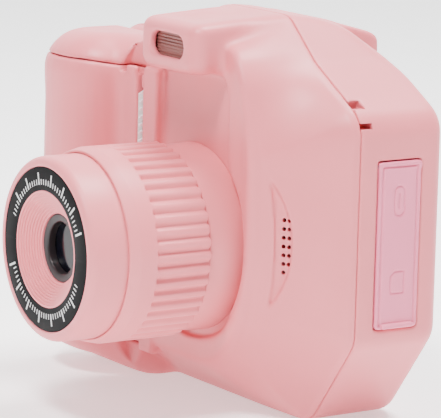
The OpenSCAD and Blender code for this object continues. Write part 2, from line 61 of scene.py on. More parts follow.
COVER_Y, COVER_Z0, COVER_W, COVER_H = 26.3, 25.4, 12.0, 40.0
SCREEN = (10.0, 46.0, 52.0, 40.0)
BEZEL_T = 1.2
KEY_R = 3.6
KEYS = {
    "power_button": (-40, 70, 3.0), "print_button": (-24, 70, KEY_R), "up_button": (-32, 54.6, KEY_R),
    "down_button": (-32, 35.4, KEY_R), "left_button": (-41.6, 45, KEY_R), "right_button": (-22.4, 45, KEY_R),
    "ok_button": (-32, 45, KEY_R + 0.4), "menu_button": (-40, 20, KEY_R), "gallery_button": (-24, 20, KEY_R),
}
SCREWS = [(42, 67), (42, 24), (-43, 5.5), (-43, 80.5)]
BOSS_R, BOSS_Y = 2.6, 10.5
LENS_HOLE_R = 20.1
EYE_X, EYE_Z, EYE_R = 8.5, 86.0, 3.8
PLATEN_X, PLATEN_Y = -20.5, 5.5
# Height of the speaker's middle, and the left end of the wall behind its crescent
SPEAKER_Z, BACKING_X = 45, 12
# Mouths of the USB socket and the card socket, each between two (y, z) corners
PORTS = [((25, 50.7), (27.95, 59.3)), ((26.1, 30.4), (27.95, 42.6))]
# Outlines list their corners as (across, along, radius)
SEAM_OUTLINE = [
    (LEFT_X, -0.2, 8), (36.5, -0.2, 8), (RIGHT_X, 22.4, 8), (RIGHT_X, 75.6, 8), (34, 86.6, 16),
    (21.6, 97.1, 4), (-4.5, 97.1, 4), (-15, 86.8, 8), (LEFT_X, GRIP_TOP, 9),
]
FRONT_OUTLINE = [
    (-24, 12, 10), (18, 12, 14), (31, 22, 16), (36.4, 44, 30), (36, 66, 20), (32, 83, 14), (27, 90, 8),
    (-24, 86, 6),
]
# The grip is a round column that flares at its free side into a flat edge along the front panel
GRIP_OUTLINE = [
    (LEFT_X + 0.4, 16, 1), (LEFT_X + 0.4, -13.8, 14), (-30.2, -13.8, 12.5), (-24.5, -3.6, 4.5),
    (DOOR_EDGE - 0.2, -2.9, 0.8), (DOOR_EDGE - 0.2, 16, 1),
]
# A point of the slanting cheek near the ridge, and the cheek's direction from there, in plan
CHEEK = (39.2, 0.0, 0.74, 0.673)


# ---- Signed distance tools ----
def rounded(corners, steps=6):
    """Outline through corners (x, y, radius), each turned as an arc."""
    out = []
    n = len(corners)
    for i, (x, y, r) in enumerate(corners):
        p = np.array((x, y), float)
        u = np.array(corners[i - 1][:2], float) - p
        v = np.array(corners[(i + 1) % n][:2], float) - p
        u /= np.linalg.norm(u)
        v /= np.linalg.norm(v)
        half = math.acos(max(-1, min(1, float(u @ v)))) / 2
        bisector = (u + v) / np.linalg.norm(u + v)
        c = p + bisector * r / math.sin(half)
        start = p + u * r / math.tan(half) - c
        end = p + v * r / math.tan(half) - c
        a0 = math.atan2(start[1], start[0])
        turn = (math.atan2(end[1], end[0]) - a0 + math.pi) % (2 * math.pi) - math.pi
        out += [c + r * np.array((math.cos(a0 + turn * k / steps), math.sin(a0 + turn * k / steps)))
                for k in range(steps + 1)]
    return np.array(out)


def rectangle(a0, b0, a1, b1, r):
    return [(a0, b0, r), (a1, b0, r), (a1, b1, r), (a0, b1, r)]


def outline_sd(corners, a, b):
    """Signed distance from points (a, b) to a rounded outline, negative inside."""
    pts = rounded(corners)
    a, b = np.broadcast_arrays(a, b)
    best = np.full(a.shape, 1e9)
    inside = np.zeros(a.shape, bool)
    for p, q in zip(pts, np.roll(pts, -1, 0)):
        e = q - p
        t = np.clip(((a - p[0]) * e[0] + (b - p[1]) * e[1]) / (e @ e + 1e-12), 0, 1)
        best = np.minimum(best, (a - p[0] - t * e[0]) ** 2 + (b - p[1] - t * e[1]) ** 2)
        crosses = (p[1] > b) != (q[1] > b)
        if abs(e[1]) > 1e-12:
            inside ^= crosses & (a < p[0] + (b - p[1]) * e[0] / e[1])
    return np.sqrt(best) * np.where(inside, -1, 1)


def smin(a, b, k):
    h = np.clip(0.5 + 0.5 * (b - a) / k, 0, 1)
    return b + (a - b) * h - k * h * (1 - h)


def smax(a, b, k):
    return -smin(-a, -b, k)


def slab_sd(v, low, high):
    return np.maximum(low - v, v - high)


def rod_sd(u, v, r):
    """Round rod seen along its axis, from the distances u and v to the axis."""
    return np.sqrt(u ** 2 + v ** 2) - r


def edge_sd(a, b, r):
    """Overlap of two fields, with an edge of radius r where they meet."""
    outside = np.sqrt(np.maximum(a + r, 0) ** 2 + np.maximum(b + r, 0) ** 2)
    return outside + np.minimum(np.maximum(a + r, b + r), 0) - r


def rbox_sd(x, y, z, low, high, r):
    """Box between two corners with edges of radius r."""
    q = [np.abs(v - (a + b) / 2) - (b - a) / 2 + r for v, a, b in zip((x, y, z), low, high)]
    outside = np.sqrt(sum(np.maximum(v, 0) ** 2 for v in q))
    return outside + np.minimum(np.maximum(np.maximum(q[0], q[1]), q[2]), 0) - r


def stations(low, high, step, focus=None):
    """Grid places along one axis, closer together near a plane that needs a clean edge."""
    out = [low - 2 * step]
    while out[-1] < high + 2 * step:
        near = 1.0 if focus is None else min(1.0, 0.4 + abs(out[-1] - focus) / 5)
        out.append(out[-1] + step * near)
    return np.array(out)


def grid_for(low, high, step, focus=(None, None, None)):
    """Places along the three axes, and the coordinates of every grid point."""
    axes = [stations(a, b, step, c) for a, b, c in zip(low, high, focus)]
    return axes, np.meshgrid(*axes, indexing="ij")


def sample(field, axes, p):
    """Trilinear value of field at points p."""
    g = np.stack([np.interp(p[:, k], axes[k], np.arange(len(axes[k]))) for k in range(3)], 1)
    i = np.clip(g.astype(int), 0, np.array(field.shape) - 2)
    f = g - i
    out = np.zeros(len(p))
    for corner in np.ndindex(2, 2, 2):
        share = np.where(corner, f, 1 - f)
        out += share[:, 0] * share[:, 1] * share[:, 2] * field[tuple((i + corner).T)]
    return out


def surface(name, field, axes, step, material, body, node=None, relax=2):
    """Closed quad mesh on the zero surface of a sampled field, by surface nets pulled onto the surface."""
    f = np.ascontiguousarray(field, dtype=np.float64)
    s = f < 0
    cell = np.zeros(tuple(n - 1 for n in f.shape), np.int32)
    total = np.zeros(cell.shape + (3,))
    count = np.zeros(cell.shape, np.int32)
    lo = [slice(0, n - 1) for n in f.shape]
    hi = [slice(1, n) for n in f.shape]
    for ax in range(3):
        others = [k for k in range(3) if k != ax]
        for d0 in (0, 1):
            for d1 in (0, 1):
                a = [None] * 3
                b = [None] * 3
                a[ax], b[ax] = lo[ax], hi[ax]
                for k, d in zip(others, (d0, d1)):
                    a[k] = b[k] = hi[k] if d else lo[k]
                fa, fb = f[tuple(a)], f[tuple(b)]
                cross = s[tuple(a)] != s[tuple(b)]
                t = np.where(cross, fa / np.where(cross, fa - fb, 1), 0)
                total[..., ax] += t
                for k, d in zip(others, (d0, d1)):
                    total[..., k] += cross * d
                count += cross
    used = count > 0
    cell[...] = -1
    cell[used] = np.arange(used.sum())
    where = np.argwhere(used)
    places = where + total[used] / count[used][:, None]
    pts = np.stack([np.interp(places[:, k], np.arange(len(axes[k])), axes[k]) for k in range(3)], 1)
    quads = []
    for ax in range(3):
        b_ax, c_ax = (ax + 1) % 3, (ax + 2) % 3
        a = [slice(1, n - 1) for n in f.shape]
        b = [slice(1, n - 1) for n in f.shape]
        a[ax], b[ax] = lo[ax], hi[ax]
        sa, sb = s[tuple(a)], s[tuple(b)]
        at = np.argwhere(sa != sb)
        flip = sa[tuple(at.T)]
        at = at + np.array([0 if k == ax else 1 for k in range(3)])
        ring = []
        for db, dc in ((0, 0), (1, 0), (1, 1), (0, 1)):
            c = at.copy()
            c[:, b_ax] -= db
            c[:, c_ax] -= dc
            ring.append(cell[tuple(c.T)])
        q = np.stack(ring, 1)
        q[~flip] = q[~flip][:, ::-1]
        quads.append(q)
    quads = np.concatenate(quads)
    edges = np.concatenate([quads[:, [0, 1]], quads[:, [1, 2]], quads[:, [2, 3]], quads[:, [3, 0]]])
    grads = np.gradient(f, *axes)
    for turn in range(relax + 1):
        if turn:
            total_n = np.zeros_like(pts)
            for k in range(3):
                total_n[:, k] = np.bincount(edges[:, 0], pts[edges[:, 1], k], len(pts))
            degree = np.bincount(edges[:, 0], minlength=len(pts))
            pts += 0.6 * (total_n / degree[:, None] - pts)
        for _ in range(2):
            g = np.stack([sample(v, axes, pts) for v in grads], 1)
            d = sample(f, axes, pts)
            size = np.maximum((g ** 2).sum(1), 0.15)
            pts -= g * np.clip(d / size, -step / 2, step / 2)[:, None]
    return mesh_piece(name, pts, quads, material, body, node)


def mesh_piece(name, pts, faces, material, body, node=None, smooth=True):
    """Object from points in millimetres, riding on a body and standing for its CAD node."""
    me = bpy.data.meshes.new(name)
    rows = faces.tolist() if isinstance(faces, np.ndarray) else faces
    me.from_pydata((np.asarray(pts) * MM).tolist(), [], rows)
    me.validate()
    me.update()
    if smooth:
        me.shade_smooth()
    else:
        me.shade_flat()
    ob = bpy.data.objects.new(name, me)
    bpy.context.scene.collection.objects.link(ob)
    me.materials.append(material)
    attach(ob, body)
    if node:
        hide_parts(node)
    return ob


def cut(ob, tools):
    """Exact boolean difference with small cutters, which are then removed."""
    for tool in tools:
        mod = ob.modifiers.new("cut", "BOOLEAN")
        mod.operation, mod.solver, mod.object = "DIFFERENCE", "EXACT", tool
    dg = bpy.context.evaluated_depsgraph_get()
    me = bpy.data.meshes.new_from_object(ob.evaluated_get(dg))
    ob.modifiers.clear()
    ob.data = me
    for tool in tools:
        bpy.data.objects.remove(tool)


def cutter(points, faces):
    me = bpy.data.meshes.new("cutter")
    me.from_pydata([tuple(np.array(p) * MM) for p in points], [], faces)
    ob = bpy.data.objects.new("cutter", me)
    bpy.context.scene.collection.objects.link(ob)
    return ob


def rods(spots, direction, radius, back, ahead, sides=20):
    """One cutter of many round rods along direction, through the given spots."""
    d = np.array(direction, float) / np.linalg.norm(direction)
    u = np.cross(d, (0, 0, 1.0))
    u /= np.linalg.norm(u)
    v = np.cross(d, u)
    pts, faces = [], []
    for spot in spots:
        base = len(pts)
        for along in (-back, ahead):
            pts += [np.array(spot) + d * along + radius * (math.cos(a) * u + math.sin(a) * v)
                    for a in np.arange(sides) * 2 * math.pi / sides]
        faces.append([base + k for k in reversed(range(sides))])
        faces.append([base + sides + k for k in range(sides)])
        faces += [[base + k, base + (k + 1) % sides, base + sides + (k + 1) % sides, base + sides + k]
                  for k in range(sides)]
    return cutter(pts, faces)


def lathe(name, profile, material, body, node, segments=160, radius_of=None):
    """Closed profile of (radius, y) turned about the lens axis."""
    prof = np.array(profile, float)
    n = len(prof)
    ang = np.arange(segments) * 2 * math.pi / segments
    r = np.repeat(prof[None, :, 0], segments, 0)
    if radius_of is not None:
        r = radius_of(r, prof[None, :, 1], ang[:, None])
    pts = np.stack([LENS_X + r * np.cos(ang)[:, None], np.repeat(prof[None, :, 1], segments, 0),
                    LENS_Z + r * np.sin(ang)[:, None]], 2).reshape(-1, 3)
    i, j = np.meshgrid(np.arange(segments), np.arange(n), indexing="ij")
    i, j = i.ravel(), j.ravel()
    faces = np.stack([i * n + j, i * n + (j + 1) % n, (i + 1) % segments * n + (j + 1) % n,
                      (i + 1) % segments * n + j], 1)
    area = np.sum(prof[:, 0] * np.roll(prof[:, 1], -1) - np.roll(prof[:, 0], -1) * prof[:, 1])
    if area < 0:
        faces = faces[:, ::-1]
    ob = mesh_piece(name, pts, faces, material, body, node)
    sharpen(ob)
    return ob


def sharpen(ob, angle=35):
    """Smooth shading that breaks at real edges, kept in the mesh."""
    me = ob.data
    me.shade_smooth()
    me.set_sharp_from_angle(angle=math.radians(angle))


def fillet(corners, steps=5):
    return [tuple(p) for p in rounded(corners, steps)]


# ---- Materials ----
def new_material(name):
    m = bpy.data.materials.new(name)
    m.use_nodes = True
    tree = m.node_tree
    return m, tree, tree.nodes["Principled BSDF"]


def noise(tree, scale, detail=3.0, source=None):
    node = tree.nodes.new("ShaderNodeTexNoise")
    node.inputs["Scale"].default_value = scale
    node.inputs["Detail"].default_value = detail
    if source is None:
        source = tree.nodes.new("ShaderNodeTexCoord").outputs["Object"]
    tree.links.new(source, node.inputs["Vector"])
    return node.outputs["Fac"]


def ramp(tree, fac, stops):
    node = tree.nodes.new("ShaderNodeValToRGB")
    while len(node.color_ramp.elements) < len(stops):
        node.color_ramp.elements.new(0.5)
    for el, (pos, col) in zip(node.color_ramp.elements, stops):
        el.position = pos
        el.color = (*col, 1)
    tree.links.new(fac, node.inputs["Fac"])
    return node.outputs["Color"]


def feed(tree, socket, fac, stops):
    """Ramp of fac wired into a socket."""
    tree.links.new(ramp(tree, fac, stops), socket)


def bump(tree, height, strength, distance):
    node = tree.nodes.new("ShaderNodeBump")
    node.inputs["Strength"].default_value = strength
    node.inputs["Distance"].default_value = distance
    tree.links.new(height, node.inputs["Height"])
    return node.outputs["Normal"]


def grey(v):
    return (v, v, v)


def shade(colour, factor):
    return tuple(np.minimum(np.array(colour) * factor, 1))


def plastic(name, colour, rough=0.42, spread=0.03, grain=2600.0, grain_depth=0.00002, specular=0.35):
    """Moulded plastic: slow colour drift, fine grain, and a paler colour on sharp convex edges."""
    m, tree, bsdf = new_material(name)
    c = np.array(colour)
    drift = noise(tree, 38.0, 4.0)
    base = ramp(tree, drift, [(0.3, shade(colour, 1 - spread)), (0.7, shade(colour, 1 + spread))])
    # Sharp convex edges, found by pointiness, are mixed towards a paler colour.
    geometry = tree.nodes.new("ShaderNodeNewGeometry")
    edge_paling = ramp(tree, geometry.outputs["Pointiness"], [(0.50, grey(0)), (0.60, grey(0.35))])
    mix = tree.nodes.new("ShaderNodeMix")
    mix.data_type = "RGBA"
    tree.links.new(edge_paling, mix.inputs["Factor"])
    tree.links.new(base, mix.inputs["A"])
    mix.inputs["B"].default_value = (*np.minimum(c * 1.12 + 0.02, 1), 1)
    tree.links.new(mix.outputs["Result"], bsdf.inputs["Base Color"])
    handled = noise(tree, 90.0, 5.0)
    feed(tree, bsdf.inputs["Roughness"], handled, [(0.3, grey(rough - 0.05)), (0.7, grey(rough + 0.06))])
    tree.links.new(bump(tree, noise(tree, grain, 2.0), 0.35, grain_depth), bsdf.inputs["Normal"])
    bsdf.inputs["Specular IOR Level"].default_value = specular
    return m


def metal(name, colour, rough, stretch=(1, 1, 40)):
    m, tree, bsdf = new_material(name)
    mapping = tree.nodes.new("ShaderNodeMapping")
    mapping.inputs["Scale"].default_value = stretch
    tree.links.new(tree.nodes.new("ShaderNodeTexCoord").outputs["Object"], mapping.inputs["Vector"])
    streak = noise(tree, 400.0, 4.0, mapping.outputs["Vector"])
    feed(tree, bsdf.inputs["Base Color"], streak, [(0.3, shade(colour, 0.88)), (0.7, shade(colour, 1.08))])
    feed(tree, bsdf.inputs["Roughness"], streak, [(0.3, grey(rough - 0.06)), (0.7, grey(rough + 0.1))])
    tree.links.new(bump(tree, streak, 0.3, 0.00001), bsdf.inputs["Normal"])
    bsdf.inputs["Metallic"].default_value = 1.0
    return m


def glossy(name, colour, rough=0.08, transmission=0.0, specular=0.5):
    m, tree, bsdf = new_material(name)
    smear = noise(tree, 120.0, 5.0)
    feed(tree, bsdf.inputs["Base Color"], smear, [(0.35, shade(colour, 0.94)), (0.65, shade(colour, 1.06))])
    feed(tree, bsdf.inputs["Roughness"], smear, [(0.35, grey(rough)), (0.7, grey(rough + 0.06))])
    tree.links.new(bump(tree, noise(tree, 900.0, 2.0), 0.1, 0.00001), bsdf.inputs["Normal"])
    bsdf.inputs["Transmission Weight"].default_value = transmission
    bsdf.inputs["Specular IOR Level"].default_value = specular
    bsdf.inputs["IOR"].default_value = 1.5
    return m


PINK = (0.72, 0.175, 0.2)
MAT = {
    # The tear bar's near-white base colour is a painted highlight: it stands in for the white glints on its
    # steel blade.
    "tear_steel": plastic("tear_steel", (0.86, 0.85, 0.86), rough=0.25, specular=0.8),
    "pink_shell": plastic("pink_shell", PINK),
    "pink_lens": plastic("pink_lens", (0.75, 0.19, 0.215)),
    "key_pink": plastic("key_pink", (0.75, 0.18, 0.29), rough=0.36),
    "inner_pink": plastic("inner_pink", (0.80, 0.21, 0.24), rough=0.5),
    "black_ring": plastic("black_ring", (0.003, 0.003, 0.0035), rough=0.5, spread=0.15, specular=0.05),
    "dark_bezel": plastic("dark_bezel", (0.014, 0.011, 0.012), rough=0.34, spread=0.12, specular=0.25),
    "lens_glass": glossy("lens_glass", (0.003, 0.003, 0.006), 0.04, specular=0.2),
    "screen_glass": glossy("screen_glass", (0.004, 0.004, 0.007), 0.12, specular=0.12),
    # The flash window's dark brown tint is painted shade: it stands in for the shaded inset seen through the
    # clear window.
    "clear_plastic": glossy("clear_plastic", (0.24, 0.085, 0.075), 0.2, transmission=0.1),
    "black_plastic": plastic("black_plastic", (0.02, 0.02, 0.022), rough=0.5, spread=0.15),
    "reflector": metal("reflector", (0.85, 0.82, 0.8), 0.16),
    "led": plastic("led", (0.9, 0.72, 0.2), rough=0.3),
    "circuit_board": plastic("circuit_board", (0.012, 0.13, 0.045), rough=0.32, spread=0.2, grain=700.0),
    "ribbon": plastic("ribbon", (0.42, 0.19, 0.04), rough=0.3, spread=0.15, grain=500.0),
    "steel": metal("steel", (0.62, 0.62, 0.64), 0.28),
    "head": metal("head", (0.7, 0.7, 0.73), 0.32),
    "battery_foil": metal("battery_foil", (0.6, 0.62, 0.66), 0.4),
    "paper": plastic("paper", (0.86, 0.85, 0.82), rough=0.75, grain=4000.0),
    "rubber": plastic("rubber", (0.015, 0.015, 0.016), rough=0.7, spread=0.2),
    "gear_white": plastic("gear_white", (0.78, 0.77, 0.72), rough=0.4),
    "ring_marks": plastic("ring_marks", (0.55, 0.55, 0.55), rough=0.45),
}


# ---- Housings ----
def loft_share(y):
    """How far the outline has moved from the seam's to the front's, by depth."""
    depth = np.array((SEAM_Y, 13.0, 11.0, 9.0, 5.0, 0.0, -2.0, CREST_Y))
    share = np.array((0.0, 0.045, 0.15, 0.27, 0.52, 0.82, 0.93, 1.0))
    return np.interp(y, depth[::-1], share[::-1])


def step_up(v, low, high):
    """0 below low, 1 above high, smooth between."""
    t = np.clip((v - low) / (high - low), 0, 1)
    return t * t * (3 - 2 * t)


def hump_top(y):
    """Crest height of the hump: it climbs to the seam and falls behind it."""
    return 95.4 + 1.7 * np.clip((y + 9) / 24, 0, 1) - 0.27 * 4 * np.log1p(np.exp((y - 18) / 4))


def grip_sd(x, y, z):
    plan = outline_sd(GRIP_OUTLINE, x[:, :, :1], y[:, :, :1])
    plan = plan - 0.3 * np.clip(1 - ((z - 45) / 30) ** 2, 0, 1) - 0.45 * step_up(z, 68, 77)
    foot = np.interp(y, (-14, -11, -8, -4.7, -1.4, 1.9, 5.2, 8), (7.0, 6.4, 5.4, 4.6, 3.0, 1.4, 0.3, -0.2))
    r = np.where(z > 45, 10.0, 6.5)
    cap = np.abs(z - (GRIP_TOP + foot) / 2) - (GRIP_TOP - foot) / 2
    return edge_sd(plan, cap, r)


def lens_panel_sd(x, z):
    """Front-view outline of the sunk panel: a disc round the lens and a plate above it."""
    disc = np.sqrt((x - LENS_X) ** 2 + (z - LENS_Z) ** 2) - 24.7
    plate = outline_sd([(-8.4, 30, 3), (24.2, 30, 3), (23.6, 82.5, 6), (-8.4, 82.5, 3)], x, z)
    return smin(disc, plate, 2.0)


def body_sd(x, y, z):
    """The whole casing's outer surface, both housings and the door together."""
    flat_x, flat_z = x[:, :1, :], z[:, :1, :]
    seam = outline_sd(SEAM_OUTLINE, flat_x, flat_z)
    front = outline_sd(FRONT_OUTLINE, flat_x, flat_z)
    share = loft_share(y)
    flank = seam * (1 - share) + front * share
    flank = np.where(y > SEAM_Y, seam + 0.012 * (y - SEAM_Y), flank)
    face = BAND_Y + (CREST_Y - BAND_Y) * step_up(x, 20, 33)
    bulge = np.exp(-((x - 45) / 4) ** 2 - ((z - 48) / 26) ** 4) * step_up(y, -2, 4)
    valley = np.exp(-((x - 31) / 3.2) ** 2 - ((z - 56) / 24) ** 4)
    core = smax(flank - 0.5 * bulge, face - y + 0.9 * valley, 2.0)
    core = edge_sd(core, y - REAR_Y, 3.8)
    core = smax(core, (y + z - 123.5) / math.sqrt(2), 3.0)
    top = hump_top(y)
    hump = rbox_sd(x, y, z - top, (-4.5, HUMP_Y, -13.2), (21.6, 60, 0), 3.6)
    hump = smax(hump, (y + z - 123.5) / math.sqrt(2), 3.0)
    core = smin(core, hump, 1.2 + 1.6 * step_up(x, -2, 18))
    core = smax(core, z - top, 2.0)
    core = smax(core, -smax(lens_panel_sd(flat_x, flat_z), y - PANEL_Y, 0.8), 0.5 + 1.6 * step_up(x, 8, 22))
    core = smin(core, grip_sd(x, y, z), 1.0)
    # Quarter-round finger notches in the grip's ends, over and under the door's free edge
    for zc, side in ((79.0, 1), (10.5, -1)):
        bite = np.sqrt((x + 15.5) ** 2 + (z - zc) ** 2) - 8.5
        bite = np.maximum(np.maximum(bite, y + 0.6), side * (zc - z) - 0.8)
        core = smax(core, -bite, 0.2)
    return smax(core, -z, 0.6)


def door_zone(x, y, z, grow):
    """Space of the paper door; its upper edge rises a little towards the front."""
    high = DOOR_HIGH + 0.9 * step_up(-y, 3, 12)
    side = np.maximum(x - DOOR_EDGE + 0.3 - grow, y - HINGE_Y + 0.3 - 12.5 * grow)
    return np.maximum(side, np.maximum(DOOR_LOW - grow - z, z - high - grow))


def cheek_run(x, y):
    """Distance across the slanting cheek, from a line near the ridge towards the seam."""
    x0, y0, dx, dy = CHEEK
    return (x - x0) * dx + (y - y0) * dy


def housings():
    step = 0.6
    axes, (x, y, z) = grid_for((LEFT_X - 0.6, -15, 0), (RIGHT_X, EYE_Y, 98), step, (None, SEAM_Y, None))
    outer = body_sd(x, y, z)
    shell = smax(outer, -(outer + WALL), 0.5)
    front_shell(x, y, z, axes, step, outer, shell)
    rear_shell(x, y, z, axes, step, outer, shell)
    paper_door(x, y, z, axes, step, outer, shell)


def front_shell(x, y, z, axes, step, outer, shell):
    front = smax(shell, y - SEAM_Y + SEAM_GAP / 2, 0.3)
    # Raised strip between the paper slot and the sunk panel
    strip = rbox_sd(x, y, z, (DOOR_EDGE + 2.2, BAND_Y - 0.3, 9), (-8.6, BAND_Y + 3, 80.4), 0.5)
    front = smin(front, strip, 0.5)
    front = smax(front, -door_zone(x, y, z, 0.2), 0.4)
    slot = rbox_sd(x, y, z, (DOOR_EDGE - 2, -8, 15), (DOOR_EDGE + 2.2, 2.4, 74.9), 0.3)
    front = smax(front, -slot, 0.3)
    front = smax(front, -rbox_sd(x, y, z, (DOOR_EDGE - 2, -8, 74), (DOOR_EDGE + 0.8, 2.4, 79.2), 0.2), 0.3)
    hole = rod_sd(x - LENS_X, z - LENS_Z, LENS_HOLE_R)
    front = smax(front, -np.maximum(hole, y - 6), 0.4)
    half = (FLASH_W - FLASH_H) / 2
    slot = np.sqrt(np.maximum(np.abs(x - FLASH_X) - half, 0) ** 2 + (z - FLASH_Z) ** 2) - FLASH_H / 2
    front = smax(front, -np.maximum(slot, y + 6), 0.6)
    # Crescent that frames the speaker holes
    run = cheek_run(x, y)
    bow = np.maximum(rod_sd(z - SPEAKER_Z, run + 18.2, 23.4), -rod_sd(z - SPEAKER_Z, run + 75, 76))
    backing = np.maximum(np.maximum(rod_sd(z - SPEAKER_Z, run - 3, 18), outer + 1.0), -(outer + 4.2))
    front = np.minimum(front, np.maximum(backing, BACKING_X - x))
    front = smax(front, -np.maximum(bow, -(outer + 1.5)), 0.2)
    for px, pz in SCREWS:
        # Bosses on the right run forwards to the cheek; those in the grip are tied to its end walls
        start = PANEL_Y if px > 0 else BOSS_Y
        boss = np.maximum(rod_sd(x - px, z - pz, BOSS_R), slab_sd(y, start, SEAM_Y - SEAM_GAP / 2))
        if px < 0:
            low, high = (-6, pz) if pz < LENS_Z else (pz, GRIP_TOP + 4)
            rib = rbox_sd(x, y, z, (px - 1, BOSS_Y, low), (px + 1, SEAM_Y - SEAM_GAP / 2, high), 0.2)
            boss = np.minimum(boss, rib)
        front = np.minimum(front, np.maximum(boss, outer + 0.8))
    ob = surface("front_shell", front, axes, step, MAT["pink_shell"], "housing", "front_shell")
    x0, y0, dx, dy = CHEEK
    # Two upright rows of holes: distance along the cheek, number of holes and lift
    rows = ((3.0, 7, 0.0), (4.35, 6, 1.0))
    spots = [(x0 + dx * run, y0 + dy * run, 44.7 + k * 2.1 + lift)
             for run, count, lift in rows for k in np.arange(count) - (count - 1) / 2]
    cut(ob, [rods(spots, (-dy, dx, 0), 0.5, 8, 8)])


def rear_shell(x, y, z, axes, step, outer, shell):
    rear = smax(shell, SEAM_Y + SEAM_GAP / 2 - y, 0.3)
    eye = rbox_sd(x, y, z, (-4.2, 26, 78.0), (20.6, EYE_Y, 96), 1.8)
    eye = smax(eye, z - hump_top(y) - 0.1, 1.4)
    eye = smax(eye, (y + z - 132.6) / math.sqrt(2), 1.5)
    rear = smin(rear, np.maximum(eye, -(outer + WALL)), 1.0)
    rear = smax(rear, -np.maximum(rod_sd(x - EYE_X, z - EYE_Z, EYE_R), 34 - y), 0.6)
    sx, sz = SCREEN[:2]
    window = rbox_sd(x, y, z, (sx - 30, REAR_Y - 3, sz - 22.5), (sx + 30, REAR_Y + 3, sz + 22.5), 1)
    rear = smax(rear, -window, 0.5)
    for kx, kz, kr in KEYS.values():
        hole = np.maximum(rod_sd(x - kx, z - kz, kr) - 0.3, 34 - y)
        rear = smax(rear, -hole, 0.5)
    hole = np.maximum(np.sqrt((x - SHUTTER[0]) ** 2 + (y - SHUTTER[1]) ** 2) - SHUTTER[2] - 0.3, 78 - z)
    rear = smax(rear, -hole, 0.7)
    port_recess = rbox_sd(x, y, z, (RIGHT_X - 5.2, COVER_Y - 8, COVER_Z0 - 2),
                          (RIGHT_X - 1, COVER_Y + 8, COVER_Z0 + COVER_H + 2), 1)
    rear = np.minimum(rear, np.maximum(port_recess, outer + 0.8))
    pocket = rbox_sd(x, y, z, (RIGHT_X - 1.9, COVER_Y - 6.2, COVER_Z0 - 0.2),
                     (RIGHT_X + 5, COVER_Y + 6.2, COVER_Z0 + COVER_H + 0.1), 0.8)
    rear = smax(rear, -pocket, 0.3)
    for low, high in PORTS:
        rear = smax(rear, -rbox_sd(x, y, z, (RIGHT_X - 9, *low), (RIGHT_X + 2, *high), 0.3), 0.4)
    barrel = np.maximum(np.sqrt((x - RIGHT_X + 0.75) ** 2 + (z - COVER_Z0 - COVER_H + 1.1) ** 2) - 1.3,
                        slab_sd(y, COVER_Y - 6.2, COVER_Y + 6.2))
    rear = smax(rear, -barrel, 0.3)
    # Block behind the strap bar, with a way through for the strap
    block = rbox_sd(x, y, z, (44.5, SEAM_Y + 0.1, 71), (53, 21, 81), 1)
    rear = np.minimum(rear, np.maximum(block, outer + 0.8))
    rear = smax(rear, -rbox_sd(x, y, z, (46.6, SEAM_Y + 0.5, 73.3), (48.6, SEAM_Y + 3.2, 79.0), 0.3), 0.3)
    for px, pz in SCREWS:
        d = np.sqrt((x - px) ** 2 + (z - pz) ** 2)
        post = np.maximum(np.maximum(d - 3, slab_sd(y, SEAM_Y + 0.1, REAR_Y - 1)), outer + 0.8)
        rear = np.minimum(rear, post)
        rear = smax(rear, -np.maximum(d - 2.4, REAR_Y - 4 - y), 0.5)
        rear = np.maximum(rear, -(d - 1.25))
    ob = surface("rear_shell", rear, axes, step, MAT["pink_shell"], "housing", "rear_shell")
    cut(ob, [box_cutter((46.8, SEAM_Y - 1, low), (60, SEAM_Y + 3.2, low + 1.4)) for low in (73.3, 77.6)])


def paper_door(x, y, z, axes, step, outer, shell):
    hinge = np.maximum(rod_sd(x - HINGE_X, y - HINGE_Y, 1.6), slab_sd(z, DOOR_LOW, DOOR_HIGH))
    panel = smax(shell, door_zone(x, y, z, 0.0), 0.4)
    for low in (12.4, 72.8):
        arm = rbox_sd(x, y, z, (-22.6, -5.5, low), (-19.0, 7.6, low + 1.6), 0.4)
        panel = np.minimum(panel, np.maximum(arm, outer + 0.8))
    panel = smin(panel, hinge, 0.6)
    # Pull tab on the upper edge, inside the finger notch
    tab = rbox_sd(x, y, z, (-21.6, BAND_Y - 1.1, 77.9), (-17.5, BAND_Y + 0.6, 80.0), 0.4)
    panel = smin(panel, tab, 0.4)
    # Bores for the hinge pin and the platen's shaft
    panel = np.maximum(panel, -rod_sd(x - HINGE_X, y - HINGE_Y, 0.82))
    panel = np.maximum(panel, -np.maximum(rod_sd(x - PLATEN_X, y - PLATEN_Y, 1.1), slab_sd(z, 11, 76)))
    surface("paper_door", panel, axes, step, MAT["pink_shell"], "door", "paper_door")


def box_cutter(low, high):
    (a, b, c), (d, e, f) = low, high
    pts = [(a, b, c), (d, b, c), (d, e, c), (a, e, c), (a, b, f), (d, b, f), (d, e, f), (a, e, f)]
    faces = [[0, 3, 2, 1], [4, 5, 6, 7], [0, 1, 5, 4], [1, 2, 6, 5], [2, 3, 7, 6], [3, 0, 4, 7]]
    return cutter(pts, faces)


# ---- Lens ----
RING_Y0, RING_LEN = FRONT_Y + 9.9, 21.9
RING_Y1 = RING_Y0 + RING_LEN
RIBS = 46
RIB_Y0 = FRONT_Y + 16.8
PLATE_IN, PLATE_OUT = 13.95, 19.5
CONE_IN, CONE_STEPS = 8.3, 10


